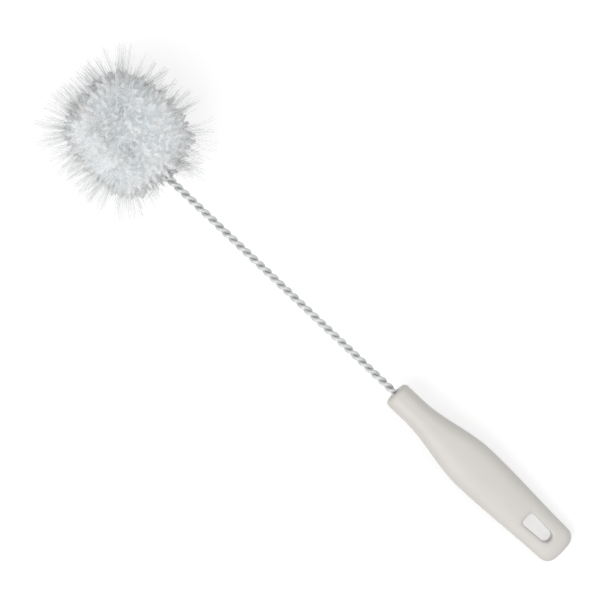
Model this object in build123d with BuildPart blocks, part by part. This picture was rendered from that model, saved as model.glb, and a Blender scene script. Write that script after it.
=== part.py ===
from build123d import *

import os
from math import atan2, ceil, copysign, cos, degrees, pi, radians, sin, sqrt, tan

# Bottle brush: a moulded handle, one wire folded double and twisted, and the bristles that
# the twist grips. The twisted wire is bent into a squarish loop, so the bristles make a ball.
# All sizes are in millimetres. The brush is drawn along X, with the handle's front face at
# x = 0, the hanging hole on the +X side and the loop in the XY plane. It is laid down at the end.

# Handle
handle_length = 121.0
neck_diameter = 14.7
neck_length = 14.0
grip_width = 26.0
grip_thickness = 15.0
grip_middle = 57.0  # from the front face to the widest place
end_width = 21.4
end_thickness = 10.0
end_corner = 6.0  # rounding of the outline at the hanging end
front_rounding = 2.4
section_sides = 20  # the oval section is drawn with this many flats

# Hanging hole
hole_length = 17.4
hole_wide = 8.2  # towards the grip
hole_narrow = 6.0  # towards the end
hole_to_end = 9.2
hole_corner = 2.2
hole_flare = 1.6  # depth of the rim's flare, at the hanging end's thickness
flare_angle = 40.0

# Twisted wire
wire_diameter = 2.1
wire_sides = 5
lay = 9.7  # length of one full turn of the twist
chords_per_lay = 8
leg_gap = 0.1  # between the two legs, where the filaments are gripped
stem_length = 162.0  # from the handle to the bristles
socket_depth = 25.0
socket_clearance = 0.2
socket_bottom = 1.0  # left free past the wire's end
eye_radius = 1.7  # of the fold at the wire's tip
eye_taper = 3.0  # length over which the legs part before the fold
eye_chords = 6

# Loop that the twisted wire is bent into
loop_length = 36.5
loop_width = 31.0
loop_offset = 2.0  # from the stem's line to the loop's middle, towards +Y
loop_bend = 5.5
entry_bend = 11.5
tip_run = 9.0  # last stretch of the wire, back towards the stem

# Bristles
bristle_reach = 24.3  # from the middle of the twist to the bristle tips
packed_reach = 12.5  # as far as the filaments lie packed together, outside the loop
packed_height = 15.0  # the same, above and below the loop
packed_corner = 12.0
packed_bevel = 10.5
bore_clearance = 0.35  # between the twist and the packed filaments
bore_chord = 3.2
bore_sides = 6
pocket_clearance = 0.4  # around the fold at the wire's tip
tufts_per_lay = 10
tuft_sides = 3
tuft_radius = 0.85
tuft_root_depth = 6.0  # from the middle of the twist, inside the packed filaments
tuft_lean = 8.0  # degrees, along the wire, to one side or the other
tuft_start = 4.0  # from the face of the packed filaments to the first tuft
crowding = 0.5  # share of its way into the loop that a tuft turns up or down instead

UP = Vector(0, 0, 1)


def smooth_step(low, high, x):
    # 0 at low, 1 at high, and level at both
    share = min(max((x - low) / (high - low), 0), 1)
    return share * share * (3 - 2 * share)


def rounded_off(radius, distance_to_end):
    # how far a rounding of this radius has drawn the outline in
    past = min(max(radius - distance_to_end, 0), radius)
    return radius - sqrt(radius**2 - past**2)


def handle_half_sizes(x):
    swell = smooth_step(neck_length, grip_middle, x)
    thin = smooth_step(grip_middle, handle_length, x)
    half_width = (neck_diameter + (grip_width - neck_diameter) * swell) / 2
    half_width -= (grip_width - end_width) / 2 * thin
    half_thickness = (neck_diameter + (grip_thickness - neck_diameter) * swell) / 2
    half_thickness -= (grip_thickness - end_thickness) / 2 * thin
    drawn_in = rounded_off(front_rounding, x) + rounded_off(end_corner, handle_length - x)
    left = 1 - drawn_in / half_width
    return half_width * left, half_thickness * left


def spread(low, high, count):
    return [low + (high - low) * k / count for k in range(1, count + 1)]


# Line that the twisted wire follows
near_side = -(stem_length + packed_reach)
far_side = near_side - loop_length
upper_side = loop_offset + loop_width / 2
lower_side = loop_offset - loop_width / 2

with BuildLine() as spine_line:
    FilletPolyline(
        (socket_depth, 0),
        (near_side, 0),
        (near_side, upper_side),
        (far_side, upper_side),
        (far_side, lower_side),
        (near_side - loop_bend, lower_side),
        (near_side - loop_bend, lower_side + tip_run),
        radius=[entry_bend, loop_bend, loop_bend, loop_bend, loop_bend],
    )
spine = spine_line.wire()
loop_middle = Vector((near_side + far_side) / 2, loop_offset, 0)

leg_offset = wire_diameter / 2 / cos(pi / chords_per_lay) + leg_gap / 2
twist_reach = leg_offset + wire_diameter / 2


def spine_at(length):
    point = spine.position_at(length, position_mode=PositionMode.LENGTH)
    along = spine.tangent_at(length, position_mode=PositionMode.LENGTH)
    return point, along


def around_spine(length, quarter=0.0):
    # direction from the spine to one leg, or a quarter turn from it. The twist is left-handed.
    _, along = spine_at(length)
    turn = -2 * pi * length / lay + quarter * pi / 2
    return UP.cross(along) * cos(turn) + UP * sin(turn)


# Handle
handle_stations = [0] + [front_rounding * (1 - cos(pi / 2 * k / 3)) for k in (1, 2, 3)]
handle_stations += [neck_length]
handle_stations += spread(neck_length, grip_middle, 6)
handle_stations += spread(grip_middle, handle_length - end_corner, 5)
handle_stations += [handle_length - end_corner + end_corner * sin(pi / 2 * k / 5) for k in (1, 2, 3, 4, 5)]

with BuildPart() as handle:
    for x in handle_stations:
        half_width, half_thickness = handle_half_sizes(x)
        with BuildSketch(Plane.YZ.offset(x)):
            corners = [2 * pi * (k + 0.5) / section_sides for k in range(section_sides)]
            Polygon(*[(half_width * cos(a), half_thickness * sin(a)) for a in corners], align=None)
    loft(ruled=True)
    with BuildSketch(Plane.YZ):
        Circle(twist_reach + socket_clearance)
    extrude(amount=socket_depth + socket_bottom, mode=Mode.SUBTRACT)
    hole_end = handle_length - hole_to_end
    hole_start = hole_end - hole_length
    for side in (1, -1):
        with BuildSketch(Plane.XY) as hanging_hole:
            Polygon(
                (hole_start, hole_wide / 2),
                (hole_start, -hole_wide / 2),
                (hole_end, -hole_narrow / 2),
                (hole_end, hole_narrow / 2),
                align=None,
            )
            fillet(hanging_hole.vertices().group_by(Axis.X)[0], radius=hole_corner)
            fillet(hanging_hole.vertices().group_by(Axis.X)[-1], radius=hole_narrow * 0.46)
        extrude(amount=side * end_thickness, mode=Mode.SUBTRACT)
        flare_plane = Plane.XY.offset(side * (end_thickness / 2 - hole_flare))
        with BuildSketch(flare_plane):
            add(hanging_hole.sketch)
        extrude(amount=side * grip_thickness / 4, taper=-flare_angle, mode=Mode.SUBTRACT)


# Twisted wire
def leg_point(length, side):
    point, _ = spine_at(length)
    parted = smooth_step(spine.length - eye_taper, spine.length, length)
    offset = leg_offset + (eye_radius - leg_offset) * parted
    return point + around_spine(length) * offset * side


chord_count = ceil(spine.length / lay * chords_per_lay)
leg_lengths = [spine.length * k / chord_count for k in range(chord_count + 1)]
tip, tip_along = spine_at(spine.length)
tip_across = around_spine(spine.length)
eye_angles = [pi * k / eye_chords for k in range(1, eye_chords)]

wire_points = [leg_point(length, 1) for length in leg_lengths]
wire_points += [tip + (tip_across * cos(a) + tip_along * sin(a)) * eye_radius for a in eye_angles]
wire_points += [leg_point(length, -1) for length in reversed(leg_lengths)]

with BuildPart() as twisted_wire:
    with BuildLine() as folded_line:
        Polyline(*wire_points)
    with BuildSketch(Plane(origin=wire_points[0], z_dir=folded_line.line % 0)):
        RegularPolygon(wire_diameter / 2, wire_sides)
    sweep(transition=Transition.RIGHT, clean=False)


# Bristles
with BuildPart() as bristles:
    with BuildSketch(Plane.XY.offset(-packed_height)) as packed_outline:
        with Locations((loop_middle.X, loop_middle.Y)):
            Rectangle(loop_length + 2 * packed_reach, loop_width + 2 * packed_reach)
        chamfer(packed_outline.vertices(), length=packed_corner)
    extrude(amount=2 * packed_height)
    chamfer(bristles.faces().filter_by(Axis.Z).edges(), length=packed_bevel)

    first_tuft = socket_depth + stem_length + tuft_start
    for k in range(int((spine.length - first_tuft) / lay * tufts_per_lay)):
        length = first_tuft + lay * k / tufts_per_lay
        point, along = spine_at(length)
        inward = (loop_middle - point).normalized()
        lean = along * tan(radians(tuft_lean)) * (k % 3 - 1)
        for quarter in (1, -1):
            outward = around_spine(length, quarter) + lean
            pressed = max(outward.dot(inward), 0) * crowding
            outward += (UP * copysign(1, outward.Z) - inward) * pressed
            outward = outward.normalized()
            root = point + outward * tuft_root_depth
            with BuildSketch(Plane(origin=root, x_dir=along.cross(outward), z_dir=outward)):
                RegularPolygon(tuft_radius, tuft_sides)
    extrude(amount=bristle_reach - tuft_root_depth)

    bore_start = socket_depth + stem_length - bore_chord
    bore_chords = ceil((spine.length - bore_start) / bore_chord)
    bore_lengths = [bore_start] + spread(bore_start, spine.length, bore_chords)
    with BuildLine() as bore_line:
        Polyline(*[spine_at(length)[0] for length in bore_lengths])
    with BuildSketch(Plane(origin=bore_line.line @ 0, z_dir=bore_line.line % 0)):
        RegularPolygon(twist_reach + bore_clearance, bore_sides, major_radius=False)
    sweep(path=bore_line.line, transition=Transition.RIGHT, clean=False, mode=Mode.SUBTRACT)
    with BuildSketch(Plane(origin=tip - tip_along * eye_taper, z_dir=tip_along)):
        RegularPolygon(eye_radius + wire_diameter / 2 + pocket_clearance, bore_sides, major_radius=False)
    extrude(amount=eye_taper + eye_radius + wire_diameter / 2 + pocket_clearance, mode=Mode.SUBTRACT)


# Laid down: it rests on the bristle tips beside the stem and on the handle's hanging end
pieces = {"handle": handle, "twisted_wire": twisted_wire, "bristles": bristles}
rest_tilt = 0.0
for _ in range(4):
    lowest = []
    for piece in (bristles, handle):
        heights = [(v.Z * cos(rest_tilt) - v.X * sin(rest_tilt), v.X, v.Z) for v in piece.part.vertices()]
        lowest.append(min(heights))
    (_, head_x, head_z), (_, tail_x, tail_z) = lowest
    rest_tilt = atan2(tail_z - head_z, tail_x - head_x)
for name, piece in pieces.items():
    piece.part.label = name
    piece.part.move(Rotation(0, degrees(rest_tilt), 0))
box = Compound([piece.part for piece in pieces.values()]).bounding_box()
to_origin = Location((-box.center().X, -box.center().Y, -box.min.Z))

os.makedirs("parts", exist_ok=True)
for name, piece in pieces.items():
    piece.part.move(to_origin)
    export_step(piece.part, f"parts/{name}.step")
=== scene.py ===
import math
import random

import bmesh
import bpy
from mathutils import Matrix, Vector, noise


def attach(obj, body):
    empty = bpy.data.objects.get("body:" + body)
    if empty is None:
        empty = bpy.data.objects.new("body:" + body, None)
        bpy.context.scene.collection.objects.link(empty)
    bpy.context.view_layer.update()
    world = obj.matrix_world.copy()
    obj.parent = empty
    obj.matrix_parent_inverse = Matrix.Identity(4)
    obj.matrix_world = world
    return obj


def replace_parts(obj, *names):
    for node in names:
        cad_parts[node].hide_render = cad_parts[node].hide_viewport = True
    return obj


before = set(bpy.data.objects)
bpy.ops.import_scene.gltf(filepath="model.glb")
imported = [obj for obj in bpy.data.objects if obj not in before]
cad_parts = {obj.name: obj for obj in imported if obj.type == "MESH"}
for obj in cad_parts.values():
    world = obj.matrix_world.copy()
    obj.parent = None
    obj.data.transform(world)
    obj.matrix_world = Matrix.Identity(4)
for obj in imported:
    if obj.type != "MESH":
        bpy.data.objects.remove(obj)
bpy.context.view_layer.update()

random.seed(17)
noise.seed_set(17)  # or else the way the filaments bow would follow the clock
upward = Vector((0, 0, 1))
quarterTurn = 90.0  # degrees
touching = 1e-4  # millimetres: closer than this is the same place

# The brush is drawn along X in millimetres, with the handle's front face at 0 and the hanging
# hole on the +X side, and each piece is then laid down as the CAD model lies.
laying = {
    "tilt": 3.8873,  # degrees, down towards the hanging end
    "shift": (56.4773, -2.0, 12.7843),
    "toMetres": 0.001,
}
layDown = (
    Matrix.Scale(laying["toMetres"], 4)
    @ Matrix.Translation(laying["shift"])
    @ Matrix.Rotation(math.radians(laying["tilt"]), 4, "Y")
)


def smoothStep(low, high, x):
    share = min(max((x - low) / (high - low), 0), 1)
    return share * share * (3 - 2 * share)


def newMaterial(name, colour, roughness):
    material = bpy.data.materials.new(name)
    material.use_nodes = True
    material.diffuse_color = (*colour, 1)
    shader = material.node_tree.nodes["Principled BSDF"]
    shader.inputs["Base Color"].default_value = (*colour, 1)
    shader.inputs["Roughness"].default_value = roughness
    return material


def meshPiece(name, mesh, material):
    mesh.materials.clear()
    mesh.materials.append(material)
    mesh.polygons.foreach_set("use_smooth", [True] * len(mesh.polygons))
    piece = bpy.data.objects.new(name, mesh)
    bpy.context.collection.objects.link(piece)
    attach(piece, "root")
    print("made", name, "with", len(mesh.polygons), "faces")
    return piece


def meshFrom(bm, name):
    mesh = bpy.data.meshes.new(name)
    bm.to_mesh(mesh)
    bm.free()
    return mesh


def temporaryObject(name, data):
    made = bpy.data.objects.new(name, data)
    bpy.context.collection.objects.link(made)
    return made


def shownMesh(temporary):
    # the mesh that an object's modifiers or bevel give, after which the object goes
    bpy.context.view_layer.update()
    graph = bpy.context.evaluated_depsgraph_get()
    mesh = bpy.data.meshes.new_from_object(temporary.evaluated_get(graph))
    bpy.data.objects.remove(temporary)
    return mesh


def evenSkin(blank, voxel, smoothing):
    # a rough shape with an even, softened skin, and the mesh that it is to go back into
    skin = blank.modifiers.new("evenSkin", "REMESH")
    skin.mode = "VOXEL"
    skin.voxel_size = voxel
    mesh = shownMesh(blank)
    bm = bmesh.new()
    bm.from_mesh(mesh)
    for _ in range(smoothing):
        bmesh.ops.smooth_vert(
            bm, verts=bm.verts, factor=0.5, use_axis_x=True, use_axis_y=True, use_axis_z=True
        )
    return bm, mesh


# Handle: an oval section that swells from a round neck to the grip and thins to the hanging end
handleSizes = {
    "length": 121.0,
    "neckDiameter": 14.7,
    "neckLength": 14.0,
    "gripWidth": 26.0,
    "gripThickness": 15.0,
    "gripMiddle": 57.0,
    "endWidth": 21.4,
    "endThickness": 10.0,
    "endCorner": 6.0,
    "frontRounding": 2.4,
    "socketRadius": 2.4,
    "socketMouth": 0.6,  # width and depth of the slope around the socket
    "socketDepth": 26.0,
    "sides": 64,
    "frontRings": 6,
    "bodyRings": 56,
    "endRings": 12,
    "lastRing": 0.01,  # from the hanging end
    "voxel": 0.45,
    "smoothing": 8,
}
holeSizes = {
    "length": 17.4,
    "wide": 8.2,
    "narrow": 6.0,
    "toEnd": 9.2,
    "corner": 2.2,
    "endRounding": 0.46,  # of the narrow end, as a share of its width
    "cornerSegments": 10,
    "rimRounding": 1.8,
    "rimSteps": 8,
    "plugFlare": 3.0,  # how much wider the plug gets once it is out of the handle
    "plugReach": 0.6,  # half its height, as a share of the grip's thickness
}


def roundedOff(radius, distanceToEnd):
    # how far a rounding of this radius has drawn the outline in
    past = min(max(radius - distanceToEnd, 0), radius)
    return radius - math.sqrt(radius**2 - past**2)


def handleHalfSizes(x):
    s = handleSizes
    swell = smoothStep(s["neckLength"], s["gripMiddle"], x)
    thin = smoothStep(s["gripMiddle"], s["length"], x)
    halfWidth = (s["neckDiameter"] + (s["gripWidth"] - s["neckDiameter"]) * swell) / 2
    halfWidth -= (s["gripWidth"] - s["endWidth"]) / 2 * thin
    halfThickness = (s["neckDiameter"] + (s["gripThickness"] - s["neckDiameter"]) * swell) / 2
    halfThickness -= (s["gripThickness"] - s["endThickness"]) / 2 * thin
    drawnIn = roundedOff(s["frontRounding"], x) + roundedOff(s["endCorner"], s["length"] - x)
    left = 1 - drawnIn / halfWidth
    return halfWidth * left, halfThickness * left


def surfaceHeight(x, y):
    halfWidth, halfThickness = handleHalfSizes(x)
    return halfThickness * math.sqrt(max(1 - (y / halfWidth) ** 2, 0))


def grownRing(bm, edges):
    grown = bmesh.ops.extrude_edge_only(bm, edges=edges)["geom"]
    verts = [g for g in grown if isinstance(g, bmesh.types.BMVert)]
    edges = [g for g in grown if isinstance(g, bmesh.types.BMEdge) and g.is_boundary]
    return verts, edges


def ringStations():
    # closer together over the two roundings than along the body
    s = handleSizes
    front, corner = s["frontRounding"], s["endCorner"]
    cornerStart = s["length"] - corner
    quarter = math.pi / 2
    count = s["frontRings"]
    stations = [front * (1 - math.cos(quarter * k / count)) for k in range(1, count + 1)]
    count = s["bodyRings"]
    stations += [front + (cornerStart - front) * k / count for k in range(1, count + 1)]
    count = s["endRings"]
    stations += [cornerStart + corner * math.sin(quarter * k / count) for k in range(1, count)]
    return stations + [s["length"] - s["lastRing"]]


def handleShell():
    s = handleSizes
    bm = bmesh.new()
    across = Matrix.Rotation(math.pi / 2, 4, "Y")
    bmesh.ops.create_circle(bm, radius=1, segments=s["sides"], matrix=across)
    bmesh.ops.scale(bm, vec=(1, *handleHalfSizes(0)), verts=bm.verts)
    frontEdges = list(bm.edges)
    edges = frontEdges
    here = 0
    for x in ringStations():
        before, after = handleHalfSizes(here), handleHalfSizes(x)
        verts, edges = grownRing(bm, edges)
        bmesh.ops.scale(bm, vec=(1, after[0] / before[0], after[1] / before[1]), verts=verts)
        bmesh.ops.translate(bm, vec=(x - here, 0, 0), verts=verts)
        here = x
    bmesh.ops.edgeloop_fill(bm, edges=edges)
    # the front face closes in on the wire and turns back into the socket
    edges = frontEdges
    now = handleHalfSizes(0)[0]
    socket, mouth = s["socketRadius"], s["socketMouth"]
    for radius, step in ((socket + mouth, 0), (socket, mouth), (socket, s["socketDepth"])):
        verts, edges = grownRing(bm, edges)
        bmesh.ops.scale(bm, vec=(1, radius / now, radius / now), verts=verts)
        bmesh.ops.translate(bm, vec=(step, 0, 0), verts=verts)
        now = radius
    bmesh.ops.edgeloop_fill(bm, edges=edges)
    bmesh.ops.recalc_face_normals(bm, faces=bm.faces)
    return bm


def holePlug():
    # the hanging hole's outline, flaring towards both faces so that the rim comes out rounded
    s = holeSizes
    endX = handleSizes["length"] - s["toEnd"]
    startX = endX - s["length"]
    middleX = (startX + endX) / 2
    wide, narrow = s["wide"] / 2, s["narrow"] / 2
    bm = bmesh.new()
    corners = [(startX, -wide), (endX, -narrow), (endX, narrow), (startX, wide)]
    verts = [bm.verts.new((x, y, 0)) for x, y in corners]
    bm.faces.new(verts)
    gripCorners = ((verts[0], verts[3]), s["corner"])
    endCorners = ((verts[1], verts[2]), s["narrow"] * s["endRounding"])
    for pair, radius in (gripCorners, endCorners):
        bmesh.ops.bevel(
            bm, geom=pair, offset=radius, offset_type="OFFSET", segments=s["cornerSegments"],
            profile=0.5, affect="VERTICES", material=-1,
        )
    bmesh.ops.delete(bm, geom=list(bm.faces), context="FACES_ONLY")
    rounding, steps = s["rimRounding"], s["rimSteps"]
    rim = [roundedOff(rounding, rounding * (1 - k / steps)) for k in range(1, steps + 1)]
    aboutMiddle = Matrix.Translation((middleX, 0, 0))
    backToStart = Matrix.Translation((-middleX, 0, 0))
    for side in (1, -1):
        edges = [e for e in bm.edges if all(abs(v.co.z) < touching for v in e.verts)]
        spread = 0
        for step, out in enumerate([0] + rim + [rounding + s["plugFlare"]]):
            verts, edges = grownRing(bm, edges)
            longer = (s["length"] / 2 + out) / (s["length"] / 2 + spread)
            wider = (s["wide"] / 2 + out) / (s["wide"] / 2 + spread)
            widened = aboutMiddle @ Matrix.Diagonal((longer, wider, 1, 1)) @ backToStart
            bmesh.ops.transform(bm, matrix=widened, verts=verts)
            for v in verts:
                below = rounding * (1 - step / steps)
                v.co.z = side * (surfaceHeight(v.co.x, v.co.y) - below)
            spread = out
        for v in verts:
            v.co.z = side * handleSizes["gripThickness"] * s["plugReach"]
        bmesh.ops.edgeloop_fill(bm, edges=edges)
    bmesh.ops.remove_doubles(bm, verts=bm.verts, dist=touching)
    bmesh.ops.recalc_face_normals(bm, faces=bm.faces)
    return bm


def makeHandle(material):
    cutter = temporaryObject("holePlug", meshFrom(holePlug(), "holePlug"))
    blank = temporaryObject("handleBlank", meshFrom(handleShell(), "handleShell"))
    cut = blank.modifiers.new("hangingHole", "BOOLEAN")
    cut.operation = "DIFFERENCE"
    cut.solver = "FAST"
    cut.object = cutter
    bm, mesh = evenSkin(blank, handleSizes["voxel"], handleSizes["smoothing"])
    bpy.data.objects.remove(cutter)
    bm.transform(layDown)
    bm.to_mesh(mesh)
    bm.free()
    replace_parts(meshPiece("handleBody", mesh, material), "handle")


# Twisted wire: one wire folded double, twisted left-handed and bent into a squarish loop
wireSizes = {
    "diameter": 2.1,
    "lay": 9.7,  # length of one full turn of the twist
    "gap": 0.04,
    "stepsPerLay": 24,
    "start": 25.0,  # inside the handle
    "eyeRadius": 1.7,
    "eyeTaper": 3.0,
    "eyeSteps": 14,
    "roundness": 3,
}
# each stretch is a run, then a bend of that radius and turn in degrees
spineStretches = [
    (188.0, 11.5, -90),
    (0.5, 5.5, 90),
    (25.5, 5.5, 90),
    (20.0, 5.5, 90),
    (20.0, 5.5, 90),
    (3.5, 0, 0),
]
spineLength = sum(run + radius * math.radians(abs(turn)) for run, radius, turn in spineStretches)


def spineAt(length):
    # place and heading of the twisted wire's middle line, from its end inside the handle
    point = Vector((wireSizes["start"], 0, 0))
    heading = math.pi
    for run, radius, turn in spineStretches:
        ahead = Vector((math.cos(heading), math.sin(heading), 0))
        if length <= run:
            return point + ahead * length, ahead
        point += ahead * run
        length -= run
        way = math.copysign(1, turn)
        bend = radius * math.radians(abs(turn))
        turned = way * min(length, bend) / radius if radius else 0
        toCentre = upward.cross(ahead) * way
        centre = point + toCentre * radius
        point = centre - Matrix.Rotation(turned, 3, "Z") @ toCentre * radius
        heading += turned
        if length <= bend:
            break
        length -= bend
    return point, Vector((math.cos(heading), math.sin(heading), 0))


def aroundSpine(length, quarter=0.0):
    # direction from the spine to one leg of the wire, or so many quarter turns from it
    _, ahead = spineAt(length)
    turn = -2 * math.pi * length / wireSizes["lay"] + quarter * math.pi / 2
    return upward.cross(ahead) * math.cos(turn) + upward * math.sin(turn)


def makeWire(material):
    s = wireSizes
    apart = s["diameter"] / 2 + s["gap"] / 2
    steps = round(spineLength / s["lay"] * s["stepsPerLay"])
    lengths = [spineLength * k / steps for k in range(steps + 1)]

    def legPoint(length, side):
        parted = smoothStep(spineLength - s["eyeTaper"], spineLength, length)
        offset = apart + (s["eyeRadius"] - apart) * parted
        return spineAt(length)[0] + aroundSpine(length) * offset * side

    tip, ahead = spineAt(spineLength)
    across = aroundSpine(spineLength)
    angles = [math.pi * k / s["eyeSteps"] for k in range(1, s["eyeSteps"])]
    points = [legPoint(length, 1) for length in lengths]
    points += [tip + (across * math.cos(a) + ahead * math.sin(a)) * s["eyeRadius"] for a in angles]
    points += [legPoint(length, -1) for length in reversed(lengths)]
    curve = bpy.data.curves.new("wireLine", "CURVE")
    curve.dimensions = "3D"
    curve.bevel_depth = s["diameter"] / 2
    curve.bevel_resolution = s["roundness"]
    curve.use_fill_caps = True
    spline = curve.splines.new("POLY")
    spline.points.add(len(points) - 1)
    for place, point in zip(spline.points, points):
        place.co = (*point, 1)
    mesh = shownMesh(temporaryObject("wireLine", curve))
    mesh.transform(layDown)
    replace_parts(meshPiece("wireTwist", mesh, material), "twisted_wire")


# Bristles: filaments gripped in tufts by the twist, fanning out around it over a packed mass
bristleSizes = {
    "firstAt": 187.5,  # along the spine, past the part inside the handle and the bare stem
    "reach": 23.7,
    "reachSpread": 1.1,
    "reachOver": 0.3,  # no filament is longer than the rest by more than this
    "cornerReach": 2.9,  # how much further they come out at the loop's bends
    "endReach": 2.4,  # and how much further still at the bend by the wire's tip
    "shortShare": 0.5,  # of the tufts, which end below the surface of the ball
    "shortReach": (0.55, 0.95),
    "root": 0.6,
    "sides": 3,
    "cuts": 3,  # along a filament, so that it can bow
    "thickness": 0.22,
    "uneven": (0.85, 1.15),
    "tipShare": 0.55,  # of the thickness at the root
    "spacing": 0.07,  # between the tufts where the twisted wire runs straight
    "bendCrowd": 6.0,  # how much closer the tufts stand for each radian to the millimetre
    "bendSpan": 1.0,  # over which the bend is measured
    "entryRun": 65.0,  # over which they thicken from the stem
    "entryShare": 0.2,  # of the full number, at the first of them
    "perTuft": 6,
    "tuftsPerChunk": 20,
    "fan": 26.0,  # degrees, about the twist
    "lean": 10.0,  # degrees, along the twist
    "slant": 0.16,  # how far the ball's two side lobes are swung round
    "inTuft": 2.2,  # degrees between the filaments of one tuft
    "crowding": (0.0, 0.35),  # share of its way into the loop that a tuft turns up or down instead
    "bow": 1.0,  # how far the tips wander off straight
    "bowSize": 9.0,
    "lowest": 0.0001,  # metres: the lowest tips lie splayed on the surface
}
packedSizes = {
    "reach": 9.5,
    "height": 14.5,
    "rounding": 12.0,
    "roundingSegments": 6,
    "voxel": 0.5,
    "smoothing": 6,
    "cornerPull": 0.1,  # how far its corners are drawn in
    "spike": 7.5,  # how far its tufts stand out
    "spikeSize": 2.0,
    "spikeShare": 0.1,  # the larger, the more of the surface its tufts cover
    "spikeTaper": 1.3,
}
loopMiddle = Vector((-192.75, 2.0, 0))
loopHalf = (18.25, 15.5)
pictureRight = Vector((0.7258, 0.6879, 0))
pictureUp = Vector((-0.6879, 0.7258, 0))


def filament(bm, point, outward, reach):
    s = bristleSizes
    middle = point + outward * (s["root"] + reach) / 2
    placed = Matrix.Translation(middle) @ outward.to_track_quat("Z", "Y").to_matrix().to_4x4()
    thick = s["thickness"] / 2 * random.uniform(*s["uneven"])
    bmesh.ops.create_cone(
        bm, cap_ends=True, segments=s["sides"], radius1=thick, radius2=thick * s["tipShare"],
        depth=reach - s["root"], matrix=placed,
    )


def tuft(bm, length, side):
    s = bristleSizes
    point, ahead = spineAt(length)
    turn = side + random.gauss(0, s["fan"]) / quarterTurn
    lean = math.tan(math.radians(random.gauss(0, s["lean"])))
    outward = aroundSpine(length, turn) + ahead * lean
    inward = (loopMiddle - point).normalized()
    pressed = max(outward.dot(inward), 0) * random.uniform(*s["crowding"])
    outward += (upward * math.copysign(1, outward.z) - inward) * pressed
    outward.normalize()
    # twice x times y is 1 on the loop's diagonals and 0 along its sides
    reach = s["reach"] + s["cornerReach"] * abs(outward.x * outward.y) * 2
    reach += s["endReach"] * max(outward.x, 0) * max(-outward.y, 0) * 2
    outward -= pictureUp * outward.dot(pictureRight) * s["slant"]
    outward.normalize()
    if random.random() < s["shortShare"]:
        reach *= random.uniform(*s["shortReach"])
    spread = math.tan(math.radians(s["inTuft"]))
    for _ in range(s["perTuft"]):
        apart = Vector([random.gauss(0, spread) for _ in range(3)])
        longer = min(random.gauss(0, s["reachSpread"]), s["reachOver"])
        filament(bm, point, (outward + apart).normalized(), reach + longer)


def packedFilaments():
    # where the filaments lie too close to be told apart, they make one soft mass around the loop
    s = packedSizes
    bm = bmesh.new()
    bmesh.ops.create_cube(bm, size=2, matrix=Matrix.Translation(loopMiddle))
    across = Vector((loopHalf[0] + s["reach"], loopHalf[1] + s["reach"], s["height"]))
    for v in bm.verts:
        v.co = loopMiddle + (v.co - loopMiddle) * across
    bmesh.ops.bevel(
        bm, geom=list(bm.edges), offset=s["rounding"], offset_type="OFFSET",
        segments=s["roundingSegments"], profile=0.5, affect="EDGES", material=-1,
    )
    blank = temporaryObject("packedBlock", meshFrom(bm, "packedBlock"))
    bm, mesh = evenSkin(blank, s["voxel"], s["smoothing"])
    for v in bm.verts:
        flat = (v.co - loopMiddle).to_2d()
        corner = abs(flat.x * flat.y) * 2 / max(flat.length_squared, 1)
        v.co.xy = loopMiddle.xy + flat * (1 - s["cornerPull"] * corner**2)
    bm.normal_update()
    for v in bm.verts:
        standing = max(noise.noise(v.co / s["spikeSize"]) + s["spikeShare"], 0)
        v.co += v.normal * standing ** s["spikeTaper"] * s["spike"]
    bm.transform(layDown)
    bm.to_mesh(mesh)
    bm.free()
    return mesh


bristledLength = spineLength - bristleSizes["firstAt"]
spineMarks = [spineAt(bristleSizes["firstAt"] + k)[0] for k in range(int(bristledLength) + 1)]


def nearestSpine(place):
    return min(spineMarks, key=lambda mark: (mark - place).length_squared)


def tuftPlaces():
    # closer at the bends, where the tufts fan out, and thinner where they begin on the stem
    s = bristleSizes
    half = s["bendSpan"] / 2
    first = s["entryShare"]
    places = []
    along = s["firstAt"]
    while along < spineLength:
        places.append(along)
        turning = spineAt(along - half)[1].angle(spineAt(along + half)[1])
        begun = first + (1 - first) * smoothStep(0, s["entryRun"], along - s["firstAt"])
        along += s["spacing"] / (1 + s["bendCrowd"] * turning) / begun
    return places


def makeBristles(name, material, places):
    # made in chunks, because bmesh slows down as a mesh grows
    s = bristleSizes
    whole = bmesh.new()
    for start in range(0, len(places), s["tuftsPerChunk"]):
        bm = bmesh.new()
        for along in places[start : start + s["tuftsPerChunk"]]:
            tuft(bm, along, random.choice((1, -1)))
        longEdges = [e for e in bm.edges if e.calc_length() > s["reach"] / 2]
        bmesh.ops.subdivide_edges(bm, edges=longEdges, cuts=s["cuts"])
        for v in bm.verts:
            off = max((nearestSpine(v.co) - v.co).length - s["root"], 0) / s["reach"]
            v.co += noise.noise_vector(v.co / s["bowSize"]) * s["bow"] * off**2
        chunk = meshFrom(bm, "chunk")
        whole.from_mesh(chunk)
        bpy.data.meshes.remove(chunk)
    whole.transform(layDown)
    for v in whole.verts:
        v.co.z = max(v.co.z, s["lowest"])
    return meshPiece(name, meshFrom(whole, name), material)


def cloudOf(material, scale, detail):
    # soft noise in the piece's own metres
    nodes, links = material.node_tree.nodes, material.node_tree.links
    place = nodes.new("ShaderNodeTexCoord")
    cloud = nodes.new("ShaderNodeTexNoise")
    cloud.inputs["Scale"].default_value = scale
    cloud.inputs["Detail"].default_value = detail
    links.new(place.outputs["Object"], cloud.inputs["Vector"])
    return cloud.outputs["Fac"]


def patchyColour(material, finish):
    nodes, links = material.node_tree.nodes, material.node_tree.links
    blend = nodes.new("ShaderNodeValToRGB")
    colours = zip(blend.color_ramp.elements, finish["patchEnds"], finish["patchColours"])
    for element, position, colour in colours:
        element.position = position
        element.color = (*colour, 1)
    cloud = cloudOf(material, finish["patchScale"], finish["patchDetail"])
    links.new(cloud, blend.inputs["Fac"])
    links.new(blend.outputs["Color"], nodes["Principled BSDF"].inputs["Base Color"])


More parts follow.
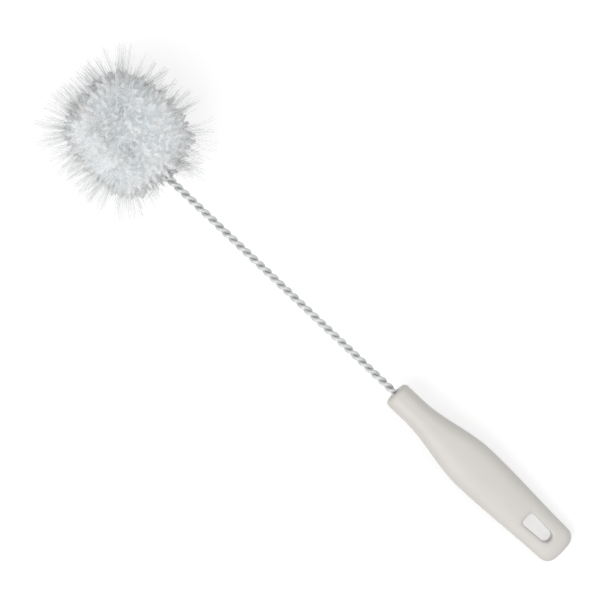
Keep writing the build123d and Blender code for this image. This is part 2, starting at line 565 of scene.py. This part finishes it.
def patchyRoughness(material, finish):
    nodes, links = material.node_tree.nodes, material.node_tree.links
    spread = nodes.new("ShaderNodeMapRange")
    lowest, highest = finish["roughEnds"]
    spread.inputs["From Min"].default_value = lowest
    spread.inputs["From Max"].default_value = highest
    lowest, highest = finish["roughRange"]
    spread.inputs["To Min"].default_value = lowest
    spread.inputs["To Max"].default_value = highest
    cloud = cloudOf(material, finish["roughScale"], finish["roughDetail"])
    links.new(cloud, spread.inputs["Value"])
    links.new(spread.outputs["Result"], nodes["Principled BSDF"].inputs["Roughness"])


def fineGrain(material, finish):
    nodes, links = material.node_tree.nodes, material.node_tree.links
    bump = nodes.new("ShaderNodeBump")
    bump.inputs["Strength"].default_value = finish["grainStrength"]
    bump.inputs["Distance"].default_value = finish["grainDepth"]
    cloud = cloudOf(material, finish["grainScale"], finish["grainDetail"])
    links.new(cloud, bump.inputs["Height"])
    links.new(bump.outputs["Normal"], nodes["Principled BSDF"].inputs["Normal"])


def finished(name, own):
    finish = {**anyFinish, **own}
    material = newMaterial(name, finish["colour"], finish["roughness"])
    patchyColour(material, finish)
    patchyRoughness(material, finish)
    if "grainScale" in finish:
        fineGrain(material, finish)
    shader = material.node_tree.nodes["Principled BSDF"]
    for socket, value in finish["shader"].items():
        shader.inputs[socket].default_value = value
    return material


anyFinish = {
    "patchEnds": (0.35, 0.65),  # where in the noise the one colour and the other are reached
    "patchDetail": 3.0,
    "roughEnds": (0.3, 0.7),
    "roughDetail": 2.0,
    "grainDetail": 4.0,
    "shader": {},
}
handleFinish = {
    "colour": (0.665, 0.643, 0.607),
    "roughness": 0.42,
    "patchScale": 45,
    "patchColours": ((0.655, 0.633, 0.594), (0.675, 0.653, 0.620)),
    "roughScale": 160,
    "roughRange": (0.38, 0.46),
    "grainScale": 1800,
    "grainStrength": 0.12,
    "grainDepth": 0.00006,
}
wireFinish = {
    "colour": (0.64, 0.65, 0.65),
    "roughness": 0.6,
    "patchScale": 320,
    "patchColours": ((0.57, 0.58, 0.58), (0.65, 0.66, 0.66)),
    "roughScale": 700,
    "roughRange": (0.55, 0.70),
    "shader": {"Metallic": 1.0},
}
clearFinish = {
    "colour": (0.94, 0.96, 0.98),
    "roughness": 0.35,
    "patchScale": 70,
    "patchColours": ((0.95, 0.98, 1.0), (1.0, 1.0, 0.99)),
    "roughScale": 400,
    "roughRange": (0.3, 0.45),
    "shader": {"Alpha": 0.19},
}
packedFinish = {
    "colour": (0.84, 0.86, 0.87),
    "roughness": 0.6,
    "patchScale": 110,
    "patchDetail": 6.0,
    "patchColours": ((0.81, 0.845, 0.87), (0.87, 0.88, 0.88)),
    "roughScale": 400,
    "roughRange": (0.5, 0.7),
    "grainScale": 900,
    "grainStrength": 0.8,
    "grainDepth": 0.0008,
    "shader": {
        "Subsurface Weight": 1.0,
        "Subsurface Radius": (1, 1, 1),
        "Subsurface Scale": 0.007,
    },
}

makeHandle(finished("handlePlastic", handleFinish))
makeWire(finished("wireSteel", wireFinish))
clearNylon = finished("clearNylon", clearFinish)
packedNylon = finished("packedNylon", packedFinish)
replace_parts(meshPiece("bristlesPacked", packedFilaments(), packedNylon), "bristles")
places = tuftPlaces()
random.shuffle(places)
half = len(places) // 2
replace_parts(makeBristles("bristlesFirst", clearNylon, places[:half]), "bristles")
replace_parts(makeBristles("bristlesSecond", clearNylon, places[half:]), "bristles")

# Stage, light and camera: a pale floor, a soft key from the picture's lower left and a long
# lens from above
stage = {
    "floorSize": 6.0,
    "floorColour": (0.45, 0.45, 0.45),
    "floorRoughness": 0.9,
    "floorGlow": 0.63,
    "keyPlace": (-0.9, -0.9, 1.3),  # right, up and towards the camera from what it looks at
    "keyPower": 17.0,
    "keySize": 1.5,
    "fillPlace": (1.0, 0.5, 1.5),
    "fillPower": 7.0,
    "fillSize": 1.2,
    "worldStrength": 0.56,
    "mirroredStrength": 0.3,  # added where the wire mirrors the studio
    "lookAt": (-0.0066, -0.0011, 0.012),
    "cameraHeight": 1.45,
    "framed": 0.3203,  # metres across the picture
    "sensor": 36,  # millimetres
    "farthest": 20,
}
lookAt = Vector(stage["lookAt"])


def raysSeen(tree, strength, base=0.0):
    # a strength that the camera, what the wire mirrors and what the nylon passes on all see
    nodes, links = tree.nodes, tree.links
    path = nodes.new("ShaderNodeLightPath")
    total = path.outputs["Is Camera Ray"]
    for ray in ("Is Glossy Ray", "Is Transmission Ray"):
        either = nodes.new("ShaderNodeMath")
        either.operation = "MAXIMUM"
        links.new(total, either.inputs[0])
        links.new(path.outputs[ray], either.inputs[1])
        total = either.outputs[0]
    glow = nodes.new("ShaderNodeMath")
    glow.operation = "MULTIPLY_ADD"
    glow.inputs[1].default_value = strength
    glow.inputs[2].default_value = base
    links.new(total, glow.inputs[0])
    return glow.outputs[0]


def makeFloor():
    bm = bmesh.new()
    bmesh.ops.create_grid(bm, x_segments=1, y_segments=1, size=stage["floorSize"] / 2)
    mesh = meshFrom(bm, "floor")
    floor = temporaryObject("floor", mesh)
    floorPaper = newMaterial("floorPaper", stage["floorColour"], stage["floorRoughness"])
    tree = floorPaper.node_tree
    shader = tree.nodes["Principled BSDF"]
    shader.inputs["Emission Color"].default_value = (1, 1, 1, 1)
    tree.links.new(raysSeen(tree, stage["floorGlow"]), shader.inputs["Emission Strength"])
    mesh.materials.append(floorPaper)


def addLamp(name, offset, power, size):
    lamp = bpy.data.lights.new(name, "AREA")
    lamp.energy = power
    lamp.size = size
    holder = bpy.data.objects.new(name, lamp)
    place = lookAt + pictureRight * offset[0] + pictureUp * offset[1] + upward * offset[2]
    holder.location = place
    holder.rotation_euler = (lookAt - place).to_track_quat("-Z", "Y").to_euler()
    bpy.context.collection.objects.link(holder)


def lightWorld():
    world = bpy.data.worlds.new("studio")
    bpy.context.scene.world = world
    world.use_nodes = True
    backdrop = world.node_tree.nodes["Background"]
    backdrop.inputs["Color"].default_value = (1, 1, 1, 1)
    seen = raysSeen(world.node_tree, stage["mirroredStrength"], stage["worldStrength"])
    world.node_tree.links.new(seen, backdrop.inputs["Strength"])


def placeCamera():
    camera = bpy.data.cameras.new("camera")
    camera.sensor_width = stage["sensor"]
    camera.lens = stage["sensor"] * stage["cameraHeight"] / stage["framed"]
    camera.clip_end = stage["farthest"]
    holder = bpy.data.objects.new("camera", camera)
    turned = Matrix((pictureRight, pictureUp, upward)).transposed().to_4x4()
    holder.matrix_world = Matrix.Translation(lookAt + upward * stage["cameraHeight"]) @ turned
    bpy.context.collection.objects.link(holder)
    bpy.context.scene.camera = holder


makeFloor()
addLamp("keyLamp", stage["keyPlace"], stage["keyPower"], stage["keySize"])
addLamp("fillLamp", stage["fillPlace"], stage["fillPower"], stage["fillSize"])
lightWorld()
placeCamera()
bpy.context.scene.view_settings.view_transform = "Standard"
print("stage, lamps and camera ready")
